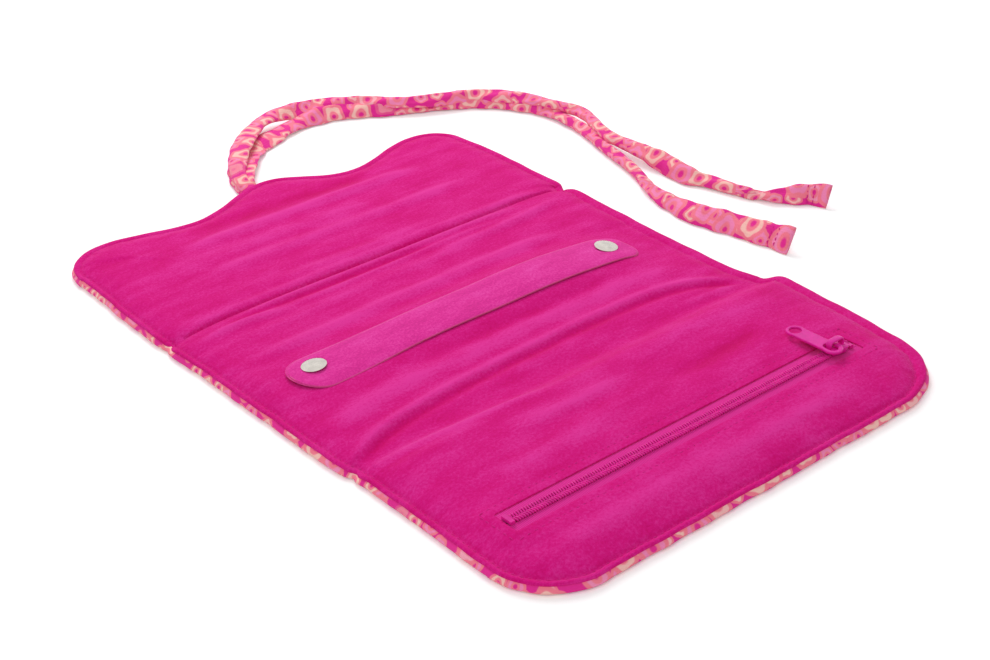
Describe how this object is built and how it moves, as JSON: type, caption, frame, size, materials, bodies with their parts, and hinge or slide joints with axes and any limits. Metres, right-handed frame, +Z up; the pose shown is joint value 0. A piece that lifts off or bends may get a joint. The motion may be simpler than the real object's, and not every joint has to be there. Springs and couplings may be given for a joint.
{
  "type": "jewelry pouch",
  "caption": "Soft jewelry pouch that folds in three, lying open, with a padded velvet lining, a ring strap held by snaps, a zip pocket and printed ties.",
  "frame": {"origin": "on the table, under the middle of the open pouch without its ties", "axes": "+X across the pouch towards the strap's opening end, +Y along the pouch towards the flap, +Z up out of the lining"},
  "size_m": [0.327, 0.4521, 0.0156],
  "materials": {
    "velvet_lining": "short-pile velvet, matte with a soft sheen",
    "printed_cotton": "printed plain-weave cotton, matte",
    "printed_tie": "printed plain-weave cotton, matte",
    "wadding": "soft fibre wadding",
    "pocket_cotton": "plain cotton, matte",
    "suede_strap": "suede-like microfibre, matte",
    "thread": "sewing thread",
    "zip_tape": "woven tape",
    "zip_nylon": "nylon coil",
    "zip_enamel": "gloss enamel on cast metal",
    "nickel": "polished nickel plate"
  },
  "bodies": {
    "middle_panel": {"middle_outer": "printed_cotton", "middle_wadding": "wadding", "middle_lining": "velvet_lining", "middle_edge_stitching": "thread", "strap_anchor_backing": "suede_strap", "strap_anchor_top": "suede_strap", "left_snap_cap": "nickel", "left_snap_socket": "nickel", "left_snap_stud": "nickel", "left_snap_post": "nickel", "right_snap_stud": "nickel", "right_snap_post": "nickel"},
    "ring_strap": {"ring_strap_backing": "suede_strap", "ring_strap_top": "suede_strap", "right_snap_cap": "nickel", "right_snap_socket": "nickel"},
    "flap": {"flap_outer": "printed_cotton", "flap_wadding": "wadding", "flap_lining": "velvet_lining", "flap_edge_stitching": "thread", "tie_lower": "printed_tie", "tie_upper": "printed_tie"},
    "pocket_panel": {"pocket_outer": "printed_cotton", "pocket_wadding": "wadding", "pocket_lining": "velvet_lining", "pocket_edge_stitching": "thread", "pocket_bag": "pocket_cotton", "zip_window_stitching": "thread", "zip_tape_upper": "zip_tape", "zip_tape_lower": "zip_tape", "zip_coil_upper": "zip_nylon", "zip_coil_lower": "zip_nylon", "zip_top_stop_upper": "zip_nylon", "zip_top_stop_lower": "zip_nylon", "zip_bottom_stop": "zip_nylon"},
    "zip_slider": {"zip_slider_body": "zip_enamel"},
    "pull_tab": {"zip_pull_tab": "zip_enamel"}
  },
  "joints": [
    {"name": "flap_fold", "type": "hinge", "parent": "middle_panel", "child": "flap", "pos_m": [0, 0.068, 0.0192], "axis": [1, 0, 0], "range_deg": [0, 179.5]},
    {"name": "pocket_fold", "type": "hinge", "parent": "middle_panel", "child": "pocket_panel", "pos_m": [0, -0.07, 0.0146], "axis": [-1, 0, 0], "range_deg": [0, 179.5]},
    {"name": "strap_lift", "type": "hinge", "parent": "middle_panel", "child": "ring_strap", "pos_m": [-0.075, -0.004, 0.0109], "axis": [0, 1, 0], "range_deg": [-120, 0]},
    {"name": "zip_slide", "type": "slide", "parent": "pocket_panel", "child": "zip_slider", "axis": [1, 0, 0], "range_m": [-0.165, 0], "deforming": ["zip_coil_upper", "zip_coil_lower"]},
    {"name": "tab_swing", "type": "hinge", "parent": "zip_slider", "child": "pull_tab", "pos_m": [0.0765, -0.1415, 0.013], "axis": [0, 0, 1], "range_deg": [0, 180]}
  ]
}
